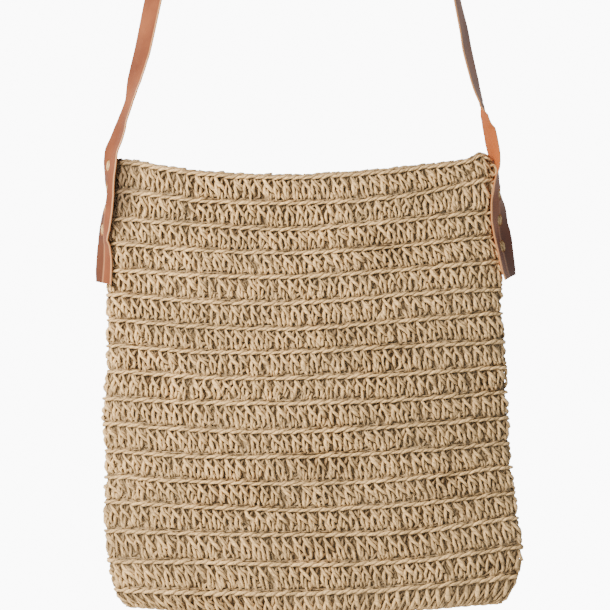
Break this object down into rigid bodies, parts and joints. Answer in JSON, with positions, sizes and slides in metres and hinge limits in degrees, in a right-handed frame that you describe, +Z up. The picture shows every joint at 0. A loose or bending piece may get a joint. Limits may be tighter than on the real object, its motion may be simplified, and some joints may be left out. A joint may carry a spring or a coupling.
{
  "type": "crochet shoulder bag",
  "caption": "Flat shoulder bag crocheted from jute yarn in ridged rounds, open at the top, hung by a tan leather strap laced to its sides.",
  "frame": {"origin": "underside of the strap at its crown, where a peg carries the bag", "axes": "+Z up along the bag's height, +X across the bag to the right of a viewer in front, the bag's front towards -Y"},
  "size_m": [0.3208, 0.0408, 0.9202],
  "materials": {
    "jute_yarn": "matt and hairy two-ply jute yarn, natural straw brown",
    "tan_leather": "vegetable-tanned, smooth tan outer face, orange flesh side and pale cut edges"
  },
  "bodies": {
    "root": {"bag_body": "jute_yarn", "strap": "tan_leather"}
  },
  "joints": []
}
